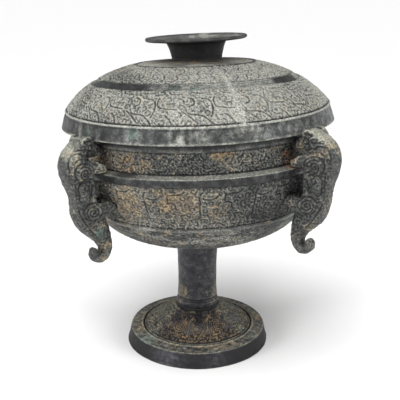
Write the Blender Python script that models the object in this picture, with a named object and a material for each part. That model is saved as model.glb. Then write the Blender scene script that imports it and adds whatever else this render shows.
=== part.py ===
import bmesh
import bpy
import numpy as np
from math import cos, pi, radians, sin

# Foot and stem, in metres
FOOT_R = 0.0589
FOOT_SIDE_H = 0.0103
FOOT_SIDE_IN = 0.0040
FOOT_TOP_W = 0.0108
FOOT_TOP_RISE = 0.0027
CONE_H = 0.0181
RING_R = 0.0197
RING_H = 0.0065
STEM_R = 0.0157
STEM_H = 0.0524

# Bowl
BOWL_H = 0.0689
BOWL_BAND_H = 0.0299
CORDON_OUT = 0.0065
CORDON_H = 0.0050
CORDON_TOP_H = 0.0028
NECK_R = 0.0960
NECK_H = 0.0235
WALL = 0.0028

# Lid and its crown
LID_OVER = 0.0089
LID_DROP = 0.0035
LID_RIM_H = 0.0111
LID_RIM_IN = 0.0039
LID_BAND_H = 0.0193
LID_GROOVE_H = 0.0034
LID_TOP_H = 0.0094
LIP_H = 0.0070
CROWN_NECK_R = 0.0187
CROWN_R = 0.0383
CROWN_H = 0.0189
RAISED = 0.0007

# Handles: climbing beasts, each between two of the main directions
HANDLES = 4
FIRST_HANDLE = radians(45)
HANDLE_CLEAR = 0.0012
HANDLE_HALF_W = 0.0092
LEG_OUT = 0.0092

# Fit and lean
GAP = 0.0003
LIP_PLAY = 0.0006
LEAN = radians(1.9)
LEAN_HEIGHT = 0.203
CROWN_LEAN = radians(1.1)
STEPS = 48

# Heights that follow from the sizes above
FOOT_TOP_Z = FOOT_SIDE_H + FOOT_TOP_RISE
RING_Z = FOOT_TOP_Z + CONE_H
STEM_Z = RING_Z + RING_H
BOWL_Z = STEM_Z + STEM_H
CORDON_Z = BOWL_Z + BOWL_H
BAND_Z = CORDON_Z - BOWL_BAND_H
NECK_Z = CORDON_Z + CORDON_H + CORDON_TOP_H
MOUTH_Z = NECK_Z + NECK_H
CORDON_R = NECK_R + CORDON_OUT
LID_R = NECK_R + LID_OVER
LID_EDGE_Z = MOUTH_Z - LID_DROP
LID_RIDGE_Z = LID_EDGE_Z + LID_RIM_H
LID_RIDGE_R = LID_R - LID_RIM_IN
GROOVE_Z = LID_RIDGE_Z + LID_BAND_H
LID_TOP_Z = GROOVE_Z + LID_GROOVE_H
CROWN_Z = LID_TOP_Z + LID_TOP_H


def clear_scene():
    """Remove everything the startup scene holds."""
    for obj in list(bpy.data.objects):
        bpy.data.objects.remove(obj, do_unlink=True)


def principled(name, color, metallic, roughness):
    """A plain Principled material with one colour."""
    material = bpy.data.materials.new(name)
    material.use_nodes = True
    shader = material.node_tree.nodes["Principled BSDF"]
    shader.inputs["Base Color"].default_value = (*color, 1)
    shader.inputs["Metallic"].default_value = metallic
    shader.inputs["Roughness"].default_value = roughness
    return material


def lean(points):
    """Turn the upper part by the lean about a cross axis, easing in along the top of the stem."""
    points = np.array(points, float)
    over = np.clip((points[:, 2] - CROWN_Z) / (0.3 * CROWN_H), 0, 1) * CROWN_LEAN
    height = points[:, 2] - CROWN_Z
    points[:, 2] += points[:, 0] * np.sin(over)
    points[:, 0] -= height * np.sin(over)
    start = BOWL_Z - 0.2 * STEM_H
    ease = np.clip((points[:, 2] - start) / (BOWL_Z + 2 * WALL - start), 0, 1)
    ease = ease * ease * (3 - 2 * ease)
    x = points[:, 0]
    z = points[:, 2] - LEAN_HEIGHT
    turned_x = x * cos(LEAN) - z * sin(LEAN)
    turned_z = x * sin(LEAN) + z * cos(LEAN) + LEAN_HEIGHT
    points[:, 0] = x + (turned_x - x) * ease
    points[:, 2] += (turned_z - points[:, 2]) * ease
    return points


def solid(name, points, faces):
    """One mesh object with its faces turned outward."""
    mesh = bpy.data.meshes.new(name)
    mesh.from_pydata([tuple(p) for p in points], [], faces)
    shape = bmesh.new()
    shape.from_mesh(mesh)
    bmesh.ops.remove_doubles(shape, verts=shape.verts, dist=1e-6)
    bmesh.ops.recalc_face_normals(shape, faces=shape.faces)
    shape.to_mesh(mesh)
    shape.free()
    obj = bpy.data.objects.new(name, mesh)
    bpy.context.scene.collection.objects.link(obj)
    return obj


def turned(profile):
    """Points and faces of a closed profile, axis to axis, turned about the upright axis."""
    points = []
    rows = []
    for r, z in profile:
        if r < 1e-6:
            rows.append([len(points)] * STEPS)
            points.append((0, 0, z))
            continue
        rows.append(list(range(len(points), len(points) + STEPS)))
        for k in range(STEPS):
            angle = 2 * pi * k / STEPS
            points.append((r * cos(angle), r * sin(angle), z))
    faces = []
    for i in range(len(rows) - 1):
        low = rows[i]
        high = rows[i + 1]
        for k in range(STEPS):
            n = (k + 1) % STEPS
            face = [low[k], low[n], high[n], high[k]]
            face = list(dict.fromkeys(face))
            if len(face) > 2:
                faces.append(face)
    return points, faces


def arc(start, end, bulge, count, skew=0.0):
    """Points between two profile points along a bow that stands off the straight line by a share of it.

    A skew above zero makes the bow fuller near its start.
    """
    start = np.array(start)
    end = np.array(end)
    way = end - start
    side = np.array([-way[1], way[0]]) * bulge
    steps = [(i + 1) / (count + 1) for i in range(count)]
    return [tuple(start + way * t + side * 4 * t * (1 - t) * (1 + skew * (1 - 2 * t))) for t in steps]


def sweep(stations, sides):
    """Points and faces of a closed tube through stations of radius, side offset, height and two half sizes.

    Each section is an oval: the first half size lies in the upright plane, square to the path, and the
    second lies across it.
    """
    path = np.array([s[:3] for s in stations], float)
    along = np.gradient(path, axis=0)
    along /= np.linalg.norm(along, axis=1)[:, None]
    across = np.array([0.0, 1.0, 0.0])
    points = [tuple(path[0])]
    for p, a, s in zip(path, along, stations):
        up = np.cross(a, across)
        up /= np.linalg.norm(up)
        wide = np.cross(up, a)
        for k in range(sides):
            angle = 2 * pi * (k + 0.5) / sides
            high = np.sign(cos(angle)) * abs(cos(angle)) ** 0.8
            out = np.sign(sin(angle)) * abs(sin(angle)) ** 0.8
            points.append(tuple(p + up * s[3] * high + wide * s[4] * out))
    points.append(tuple(path[-1]))
    faces = []
    for i in range(len(stations) - 1):
        for k in range(sides):
            a = 1 + i * sides + k
            b = 1 + i * sides + (k + 1) % sides
            faces.append([a, b, b + sides, a + sides])
    last = len(points) - 1
    for k in range(sides):
        faces.append([0, 1 + (k + 1) % sides, 1 + k])
        faces.append([last, last - sides + k, last - sides + (k + 1) % sides])
    return points, faces


def bowl_profile():
    """The lower piece from the middle of the bowl's floor, over the mouth and down to the hollow foot."""
    floor_z = BOWL_Z + 1.5 * WALL
    inside = NECK_R - WALL
    belly_r = NECK_R * 0.935
    low = (STEM_R * 1.06, BOWL_Z)
    mid = (belly_r, BAND_Z)
    profile = [(0, floor_z)]
    profile.append((STEM_R * 2.6, floor_z + 0.0022))
    profile.append((belly_r * 0.80, BOWL_Z + (BAND_Z - BOWL_Z) * 0.48))
    profile.append((belly_r - WALL, BAND_Z + WALL))
    profile.append((NECK_R - 0.2 * WALL, CORDON_Z - 0.2 * BOWL_BAND_H))
    profile.append((inside, NECK_Z + 0.2 * NECK_H))
    profile.append((inside, MOUTH_Z))
    profile.append((NECK_R, MOUTH_Z))
    profile.append((NECK_R + 0.0002, NECK_Z + 0.56 * NECK_H))
    profile.append((NECK_R + 0.0002 - RAISED, NECK_Z + 0.53 * NECK_H))
    profile.append((NECK_R - RAISED + 0.0004, NECK_Z))
    profile.append((CORDON_R + 0.0008, CORDON_Z + CORDON_H))
    profile.append((CORDON_R, CORDON_Z))
    profile.append((CORDON_R - RAISED, CORDON_Z - RAISED))
    profile += arc((CORDON_R - RAISED, CORDON_Z - RAISED), mid, 0.04, 2)
    profile.append(mid)
    profile.append((mid[0] - 0.0004, mid[1] - 0.0010))
    profile += arc((mid[0] - 0.0004, mid[1] - 0.0010), low, 0.135, 5, 0.45)
    profile.append(low)
    profile.append((STEM_R, STEM_Z + 0.24 * STEM_H))
    profile.append((STEM_R * 1.08, STEM_Z + 0.0024))
    profile.append((RING_R * 0.86, STEM_Z))
    profile.append((RING_R * 0.95, STEM_Z - 0.25 * RING_H))
    profile.append((RING_R * 0.92, RING_Z + 0.4 * RING_H))
    profile.append((RING_R, RING_Z + 0.1 * RING_H))
    profile.append((RING_R, RING_Z))
    cone_r = FOOT_R - FOOT_SIDE_IN - FOOT_TOP_W
    profile += arc((RING_R, RING_Z), (cone_r, FOOT_TOP_Z + 0.0006), -0.03, 2)
    profile.append((cone_r, FOOT_TOP_Z + 0.0006))
    profile.append((cone_r + 0.0008, FOOT_TOP_Z - 0.0008))
    profile.append((FOOT_R - FOOT_SIDE_IN - 0.0016, FOOT_SIDE_H + 0.0002))
    profile.append((FOOT_R - FOOT_SIDE_IN, FOOT_SIDE_H - 0.0008))
    profile.append((FOOT_R, 0))
    profile.append((FOOT_R - WALL, 0))
    profile.append((FOOT_R - FOOT_SIDE_IN - WALL, FOOT_SIDE_H - WALL))
    profile.append((RING_R - WALL * 0.9, RING_Z - WALL * 0.8))
    profile.append((STEM_R - WALL, STEM_Z))
    profile.append((STEM_R - WALL, BOWL_Z - 2 * WALL))
    profile.append((0, BOWL_Z - 1.2 * WALL))
    return profile


def lid_profile():
    """The lid from the floor of its crown, out over the dome, round the rim and back under the dome."""
    seat_z = MOUTH_Z + GAP
    lip_r = NECK_R - WALL - LIP_PLAY
    brim = 0.0028
    mid = (LID_RIDGE_R * 0.79, GROOVE_Z)
    top = (LID_RIDGE_R * 0.733, LID_TOP_Z)
    crown_r = CROWN_NECK_R
    profile = [(0, CROWN_Z + 0.0012)]
    profile.append((crown_r - WALL, CROWN_Z + 0.0012))
    profile.append((crown_r + 0.0029 - WALL, CROWN_Z + 0.66 * CROWN_H))
    profile.append((crown_r + 0.0066, CROWN_Z + CROWN_H - 0.0016))
    profile.append((CROWN_R - 0.0012, CROWN_Z + CROWN_H))
    profile.append((CROWN_R, CROWN_Z + CROWN_H - 0.5 * brim))
    profile.append((CROWN_R - 0.0012, CROWN_Z + CROWN_H - brim))
    profile.append((crown_r + 0.0052, CROWN_Z + CROWN_H - brim - 0.0016))
    profile.append((crown_r + 0.0022, CROWN_Z + 0.55 * CROWN_H))
    profile.append((crown_r, CROWN_Z))
    profile.append((0.0447 / 0.1016 * LID_RIDGE_R, LID_TOP_Z + 0.88 * LID_TOP_H))
    profile.append((0.0460 / 0.1016 * LID_RIDGE_R, LID_TOP_Z + 0.84 * LID_TOP_H + RAISED))
    profile += arc(profile[-1], top, 0.04, 1)
    profile.append(top)
    profile.append((top[0] + 0.0008, LID_TOP_Z - 0.0003 - RAISED))
    profile.append((mid[0] - 0.0004, GROOVE_Z - RAISED))
    profile.append(mid)
    profile += arc(mid, (LID_RIDGE_R, LID_RIDGE_Z + 0.0008), 0.045, 3)
    profile.append((LID_RIDGE_R, LID_RIDGE_Z + 0.0008))
    profile.append((LID_RIDGE_R + 0.0006, LID_RIDGE_Z))
    profile.append((LID_RIDGE_R + 0.0002, LID_RIDGE_Z - 0.0010))
    profile.append((LID_R, LID_EDGE_Z))
    profile.append((LID_R - WALL, LID_EDGE_Z))
    profile.append((LID_R - WALL - 0.0010, seat_z))
    profile.append((lip_r, seat_z))
    profile.append((lip_r, seat_z - LIP_H))
    profile.append((lip_r - 0.8 * WALL, seat_z - LIP_H))
    profile.append((lip_r - 0.8 * WALL, seat_z + 0.4 * WALL))
    profile.append((mid[0] + 0.0004, GROOVE_Z - 0.0008 - 1.15 * WALL))
    profile.append((top[0] - 0.0300, LID_TOP_Z + 0.78 * LID_TOP_H - WALL))
    profile.append((0, CROWN_Z + 0.0012 - WALL))
    return profile


def beast():
    """One climbing beast at zero bearing: list of closed tubes for body, tail, limbs and ears."""
    face_r = NECK_R - 0.0005
    back = LID_R + HANDLE_CLEAR
    half = HANDLE_HALF_W
    leg = LEG_OUT
    z0 = CORDON_Z
    spine = [
        (face_r, 0, z0 + 0.0190, 0.0034, 0.50 * half),
        (back - 0.0030, 0, z0 + 0.0212, 0.0054, 0.76 * half),
        (back + 0.0060, 0, z0 + 0.0240, 0.0078, 0.90 * half),
        (back + 0.0122, 0, z0 + 0.0212, 0.0088, 1.00 * half),
        (back + 0.0132, 0, z0 + 0.0125, 0.0092, 1.04 * half),
        (back + 0.0114, 0, z0 + 0.0040, 0.0088, 1.00 * half),
        (back + 0.0086, 0, z0 - 0.0080, 0.0080, 0.92 * half),
        (back + 0.0058, 0, z0 - 0.0200, 0.0116, 1.00 * half),
        (back + 0.0018, 0, z0 - 0.0300, 0.0110, 0.94 * half),
        (back - 0.0042, 0, z0 - 0.0390, 0.0078, 0.76 * half),
        (back - 0.0080, 0, z0 - 0.0480, 0.0054, 0.58 * half),
        (back - 0.0080, 0, z0 - 0.0550, 0.0045, 0.52 * half),
        (back - 0.0026, 0, z0 - 0.0585, 0.0042, 0.52 * half),
        (back + 0.0018, 0, z0 - 0.0548, 0.0043, 0.52 * half),
        (back + 0.0000, 0, z0 - 0.0502, 0.0030, 0.46 * half),
    ]
    parts = [sweep(spine, 8)]
    for side in (-1, 1):
        foreleg = [
            (back + 0.0120, side * leg * 0.80, z0 + 0.0110, 0.0078, 0.0046),
            (back + 0.0030, side * leg * 1.10, z0 + 0.0085, 0.0058, 0.0042),
            (face_r - 0.0010, side * leg * 1.15, z0 + 0.0080, 0.0038, 0.0036),
        ]
        hind = [
            (back + 0.0050, side * leg * 0.80, z0 - 0.0225, 0.0092, 0.0046),
            (back - 0.0030, side * leg * 0.98, z0 - 0.0205, 0.0068, 0.0042),
            (CORDON_R - 0.0090, side * leg, z0 - 0.0190, 0.0048, 0.0036),
        ]
        wing = [
            (back + 0.0080, side * leg * 0.85, z0 + 0.0040, 0.0044, 0.0030),
            (back + 0.0030, side * leg * 1.12, z0 - 0.0030, 0.0046, 0.0028),
            (back + 0.0034, side * leg * 1.00, z0 - 0.0130, 0.0026, 0.0022),
        ]
        ear = [
            (back + 0.0080, side * half * 0.45, z0 + 0.0290, 0.0034, 0.0028),
            (back + 0.0046, side * half * 0.72, z0 + 0.0318, 0.0034, 0.0024),
            (back + 0.0106, side * half * 0.80, z0 + 0.0320, 0.0022, 0.0020),
        ]
        parts += [sweep(foreleg, 5), sweep(hind, 5), sweep(wing, 4), sweep(ear, 4)]
    return parts


def handle_solids():
    """All beasts, turned to their bearings and leaned with the bowl, as helpers for the join."""
    made = []
    for h in range(HANDLES):
        bearing = FIRST_HANDLE + 2 * pi * h / HANDLES
        turn = np.array([[cos(bearing), -sin(bearing), 0], [sin(bearing), cos(bearing), 0], [0, 0, 1]])
        for k, (points, faces) in enumerate(beast()):
            placed = lean(np.array(points) @ turn.T)
            made.append(solid(f"limb_{h}_{k}", placed, faces))
    return made


def join(target, helpers, name):
    """Unite helpers with the target, and keep them out of the render."""
    group = bpy.data.collections.new(name)
    bpy.context.scene.collection.children.link(group)
    for helper in helpers:
        bpy.context.scene.collection.objects.unlink(helper)
        group.objects.link(helper)
        helper.hide_render = True
        helper.display_type = "WIRE"
    modifier = target.modifiers.new(name, "BOOLEAN")
    modifier.operation = "UNION"
    modifier.solver = "EXACT"
    modifier.operand_type = "COLLECTION"
    modifier.collection = group
    return modifier


def finish(obj, material):
    """Give the piece its own material, and smooth shading up to a crease."""
    obj.data.materials.append(material)
    obj.data.shade_smooth()
    obj.data.set_sharp_from_angle(angle=radians(32))


def main():
    clear_scene()

    # Bowl, stem, foot and the four handles, cast as one
    points, faces = turned(bowl_profile())
    bowl = solid("bowl", lean(points), faces)
    finish(bowl, principled("bronze_body", (0.105, 0.108, 0.104), 0.6, 0.5))
    join(bowl, handle_solids(), "handles")

    # Lid with its crown
    points, faces = turned(lid_profile())
    lid = solid("lid", lean(points), faces)
    finish(lid, principled("bronze_lid", (0.190, 0.190, 0.175), 0.5, 0.55))


main()
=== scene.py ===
import math

import bpy
import numpy as np
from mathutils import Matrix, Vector


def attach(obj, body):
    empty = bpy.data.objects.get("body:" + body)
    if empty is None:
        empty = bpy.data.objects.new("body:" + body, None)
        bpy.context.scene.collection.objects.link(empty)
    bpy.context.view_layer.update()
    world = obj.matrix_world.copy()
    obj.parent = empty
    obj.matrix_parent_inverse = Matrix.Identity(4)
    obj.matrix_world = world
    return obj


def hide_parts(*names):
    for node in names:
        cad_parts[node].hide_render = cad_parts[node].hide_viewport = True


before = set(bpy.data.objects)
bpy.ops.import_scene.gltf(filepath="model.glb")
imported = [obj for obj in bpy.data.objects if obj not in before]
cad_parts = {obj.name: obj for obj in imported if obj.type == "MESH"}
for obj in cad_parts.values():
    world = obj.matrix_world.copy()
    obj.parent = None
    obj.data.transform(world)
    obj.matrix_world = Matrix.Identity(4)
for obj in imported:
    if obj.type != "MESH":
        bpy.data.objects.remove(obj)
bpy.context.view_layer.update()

# Foot and stem. A hollow cast stem of dark bronze swells into a ring and a spreading foot, whose
# cone carries serpents and round eyes. The foot is level, while everything above it leans a little.
LEAN = math.radians(1.9)
LEAN_HEIGHT = 0.203
BOWL_Z = 0.0900
WALL = 0.0028


def leaned(p):
    """Points turned by the vessel's lean about a cross axis, eased in over the top of the stem.

    The share of the turn is 0 below the stem's top and 1 above the bowl's floor, smoothly between.
    """
    start = BOWL_Z - 0.0105
    share = np.clip((p[:, 2] - start) / (BOWL_Z + 2 * WALL - start), 0, 1)
    share = share * share * (3 - 2 * share)
    x = p[:, 0]
    z = p[:, 2] - LEAN_HEIGHT
    turned = np.stack([x * math.cos(LEAN) - z * math.sin(LEAN), p[:, 1],
                       x * math.sin(LEAN) + z * math.cos(LEAN) + LEAN_HEIGHT], 1)
    return p + (turned - p) * share[:, None]


def swell(p, size, seed):
    """Smooth noise of unit strength: the sum of sixteen sine waves in random directions.

    Each wave's length is about the given size.
    """
    rng = np.random.default_rng(seed)
    way = rng.normal(size=(p.shape[1], 16))
    way *= 2 * np.pi * rng.uniform(0.6, 1.6, 16) / np.linalg.norm(way, axis=0) / size
    return np.sin(p @ way + rng.uniform(0, 6.28, 16)).sum(1) / math.sqrt(8)


def smooth(x, low, high):
    """0 below low, 1 above high, and the smooth cubic step between."""
    t = np.clip((x - low) / (high - low), 0, 1)
    return t * t * (3 - 2 * t)


def bell(x, at, wide):
    """1 at a value, falling to 0 on both sides of it: exp of minus the square of (x - at) / wide."""
    return np.exp(-((x - at) / wide) ** 2)


def blots(p, size, seed, sharp=1.2):
    """Stains between 0 and 1: half of one plus the tanh of sharp times the noise of that size."""
    return 0.5 + 0.5 * np.tanh(sharp * swell(p, size, seed))


def bow(start, end, bulge, count, skew=0.0):
    """Points from start to end along a parabola that stands off the chord by a share of its length.

    Offset is 4t(1-t) times bulge times the chord, fuller near the start where skew is above zero.
    """
    start, end = np.array(start), np.array(end)
    way = end - start
    t = np.linspace(0, 1, count)[:, None]
    side = np.array([-way[1], way[0]]) * bulge
    return start + way * t + side * 4 * t * (1 - t) * (1 + skew * (1 - 2 * t))


def along(points, step):
    """Even steps of arc length along a line of points."""
    points = np.array(points)
    run = np.r_[0, np.cumsum(np.linalg.norm(np.diff(points, axis=0), axis=1))]
    s = np.linspace(0, run[-1], max(2, int(round(run[-1] / step)) + 1))
    return np.stack([np.interp(s, run, points[:, 0]), np.interp(s, run, points[:, 1])], 1)


def zipped(first, n, second, m):
    """Triangles between two rings of n and m points that start at the same bearing.

    Both rings' edges are taken in the order of their middles' bearings, and each joins the point
    that the other ring has reached.
    """
    middle = np.r_[(np.arange(n) + 0.5) / n, (np.arange(m) + 0.5) / m]
    order = np.argsort(middle, kind="stable")
    mine = order < n
    at_first = (np.cumsum(mine) - mine) % n
    at_second = (np.cumsum(~mine) - ~mine) % m
    third = np.where(mine, first + (at_first + 1) % n, second + (at_second + 1) % m)
    return np.stack([third, first + at_first, second + at_second], 1)


def points_of(mesh):
    """Places and normals of a mesh's points, a row each."""
    place = np.empty(len(mesh.vertices) * 3, np.float32)
    mesh.vertices.foreach_get("co", place)
    normal = np.empty(len(mesh.vertices) * 3, np.float32)
    mesh.vertex_normals.foreach_get("vector", normal)
    return place.reshape(-1, 3).astype(float), normal.reshape(-1, 3).astype(float)


def crests(mesh, reach_mm):
    """How far each point stands above the middle of its neighbours along its normal, in millimetres.

    The neighbours' middle is taken once, and the result is averaged twice over the neighbours. A
    ridge comes out above 0 and a hollow below it. reach_mm scales out the mesh's own step.
    """
    p, normal = points_of(mesh)
    n = len(p)
    edge = np.empty(len(mesh.edges) * 2, np.int32)
    mesh.edges.foreach_get("vertices", edge)
    edge = edge.reshape(-1, 2)
    one, two = np.r_[edge[:, 0], edge[:, 1]], np.r_[edge[:, 1], edge[:, 0]]
    near = np.maximum(np.bincount(one, minlength=n), 1)

    def middle(v):
        return np.bincount(one, weights=v[two], minlength=n) / near

    off = p - np.stack([middle(p[:, i]) for i in range(3)], 1)
    rise = (off * normal).sum(1) * 1000 / reach_mm
    return (rise + middle(rise) + middle(middle(rise))) / 3


def marked(mesh, marks, reach_mm):
    """Stores the marks, and the mesh's crest and hollow, as float attributes of its points."""
    rise = crests(mesh, reach_mm)
    marks = marks | {"crest": np.clip(rise, 0, 1), "hollow": np.clip(-rise, 0, 1)}
    for key, values in marks.items():
        layer = mesh.attributes.new(key, "FLOAT", "POINT")
        layer.data.foreach_set("value", np.asarray(values, np.float32))


def in_scene(name, data):
    """An object of the data, linked to the scene at the origin."""
    made = bpy.data.objects.new(name, data)
    bpy.context.scene.collection.objects.link(made)
    return made


def wall_mesh(name, rows, marks):
    """A closed wall of rings, one ring a row: arrays of points, from pole to pole, with marks.

    Rings of equal count are joined by squares, others by the zip above, and a pole by a fan.
    Crest and hollow are read from the finished shape.
    """
    count = [len(r) for r in rows]
    first = np.r_[0, np.cumsum(count)]
    quads, tris = [], []
    for i in range(len(rows) - 1):
        n, m = count[i], count[i + 1]
        a, b = first[i], first[i + 1]
        if n == m:
            k = np.arange(n)
            nxt = (k + 1) % n
            quads.append(np.stack([a + k, b + k, b + nxt, a + nxt], 1))
        elif n == 1:
            k = np.arange(m)
            tris.append(np.stack([np.full(m, a), b + k, b + (k + 1) % m], 1))
        elif m == 1:
            k = np.arange(n)
            tris.append(np.stack([a + (k + 1) % n, a + k, np.full(n, b)], 1))
        else:
            tris.append(zipped(a, n, b, m))
    quads = np.concatenate(quads) if quads else np.zeros((0, 4), int)
    tris = np.concatenate(tris) if tris else np.zeros((0, 3), int)
    points = np.concatenate(rows)
    mesh = bpy.data.meshes.new(name)
    mesh.vertices.add(len(points))
    mesh.vertices.foreach_set("co", points.astype(np.float32).ravel())
    mesh.loops.add(quads.size + tris.size)
    mesh.loops.foreach_set("vertex_index", np.r_[quads.ravel(), tris.ravel()].astype(np.int32))
    mesh.polygons.add(len(quads) + len(tris))
    starts = np.r_[np.arange(len(quads)) * 4, quads.size + np.arange(len(tris)) * 3]
    mesh.polygons.foreach_set("loop_start", starts.astype(np.int32))
    mesh.update(calc_edges=True)
    mesh.shade_smooth()
    marked(mesh, marks, 0.10)
    return in_scene(name, mesh)


def turned_wall(name, bands, patina, bend=None):
    """A turned, closed wall from a list of bands, each with its own ring count and relief.

    A band is (profile points, ring count, relief function or None). A ring point stands off the
    profile along its outward normal by the relief at its bearing and run along the band. patina
    gives the marks from the points, the relief's depth and the band's number, and bend is a last
    change of the points before the lean.
    """
    profile = np.concatenate([b[0] for b in bands])
    ahead = np.gradient(profile, axis=0)
    normal = np.stack([-ahead[:, 1], ahead[:, 0]], 1)
    normal /= np.maximum(np.linalg.norm(normal, axis=1), 1e-9)[:, None]
    rows, depth, part = [], [], []
    i = 0
    for k, (points, count, relief) in enumerate(bands):
        run = np.r_[0, np.cumsum(np.linalg.norm(np.diff(points, axis=0), axis=1))]
        angle = 2 * np.pi * np.arange(count) / count
        if relief is None:
            high = np.zeros((len(points), count))
            ink = high
        else:
            high, ink = relief(angle, run)
        for j in range(len(points)):
            r, z = points[j]
            if r < 1e-6:
                rows.append(np.array([[0.0, 0.0, z]]))
                depth.append(np.zeros(1))
                part.append(np.full(1, k))
            else:
                wide = r + normal[i, 0] * high[j]
                tall = z + normal[i, 1] * high[j]
                rows.append(np.stack([wide * np.sin(angle), -wide * np.cos(angle), tall], 1))
                depth.append(ink[j])
                part.append(np.full(count, k))
            i += 1
    points = np.concatenate(rows)
    marks = patina(points, np.concatenate(depth), np.concatenate(part))
    out = points * (1, 1, 0) / np.maximum(np.linalg.norm(points[:, :2], axis=1), 1e-6)[:, None]
    dents = ((0.00010, 0.045, 8), (0.00004, 0.012, 9), (0.00002, 0.004, 10))
    dent = sum(deep * swell(points, size, seed) for deep, size, seed in dents)
    points = points + out * (dent - 0.00020)[:, None]
    points = leaned(points if bend is None else bend(points))
    cuts = np.cumsum([len(r) for r in rows])[:-1]
    return wall_mesh(name, np.split(points, cuts), marks)


def flowing(knots, count=14):
    """A smooth line through a few points.

    Each span is the cubic whose slopes are half the chord between the neighbours of its ends.
    """
    k = np.array(knots, float)
    k = np.concatenate([2 * k[:1] - k[1:2], k, 2 * k[-1:] - k[-2:-1]])
    t = np.linspace(0, 1, count)[:, None]
    spans = []
    for a, b, c, d in zip(k, k[1:], k[2:], k[3:]):
        spans.append(b + 0.5 * t * (c - a + t * (2 * a - 5 * b + 4 * c - d + t * (3 * (b - c) + d - a))))
    return np.concatenate(spans)


def reach(x, y, lines, width):
    """Distance of each grid point to the nearest of the lines.

    The strip repeats every width, or not at all where width is None.
    """
    a = np.concatenate([line[:-1] for line in lines])
    b = np.concatenate([line[1:] for line in lines])
    keep = np.linalg.norm(b - a, axis=1) > 1e-9
    a, b = a[keep], b[keep]
    p = np.stack([x.ravel(), y.ravel()], 1)
    best = np.full(len(p), 1e9)
    for shift in (-width, 0, width) if width else (0,):
        for lo in range(0, len(a), 200):
            s, e = a[lo:lo + 200] + (shift, 0), b[lo:lo + 200] + (shift, 0)
            d = e - s
            t = ((p[:, None] - s) * d).sum(2) / (d * d).sum(1)
            gap = p[:, None] - s - np.clip(t, 0, 1)[..., None] * d
            best = np.minimum(best, np.sqrt((gap * gap).sum(2).min(1)))
    return best.reshape(x.shape)


def commas(width, height, pitch, size, seed, clear):
    """Small curled strokes that fill a strip: bent hooks on a shaken grid.

    Where clear is given, it tells a point's distance to the long lines, and hooks on them are left out.
    """
    rng = np.random.default_rng(seed)
    lines = []
    rows = max(2, int(round(height / pitch)))
    cols = max(3, int(round(width / pitch)))
    for i in range(rows):
        for j in range(cols):
            x = (j + 0.5 * (i % 2) + rng.uniform(0.2, 0.8)) * width / cols
            y = (i + rng.uniform(0.3, 0.7)) * height / rows
            turn = rng.uniform(0, 2 * np.pi)
            way = rng.choice([-1, 1])
            t = np.linspace(0, 1, 9)
            angle = turn + way * t * rng.uniform(3.6, 5.4)
            r = size * (0.38 + 0.62 * t)
            line = np.stack([x + r * np.cos(angle), y + r * np.sin(angle)], 1)
            if clear is None or clear(x % width, y) > size * 0.9:
                lines.append(line)
    return lines


def worms(angle, run, radius, size, seed):
    """A field of winding ridges on a ring: twenty waves of nearly one length in all directions.

    Each wave's length is about the given size, and each fits a whole number of times round the ring.
    """
    rng = np.random.default_rng(seed)
    way = rng.uniform(0, np.pi, 20)
    number = 2 * np.pi / (size * rng.uniform(0.85, 1.2, 20))
    turns = np.round(number * np.cos(way) * radius)
    u, v = np.meshgrid(angle, run)
    waves = zip(turns, number * np.sin(way), rng.uniform(0, 6.28, 20))
    return sum(np.cos(k * u + q * v + phase) for k, q, phase in waves) / math.sqrt(10)


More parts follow.
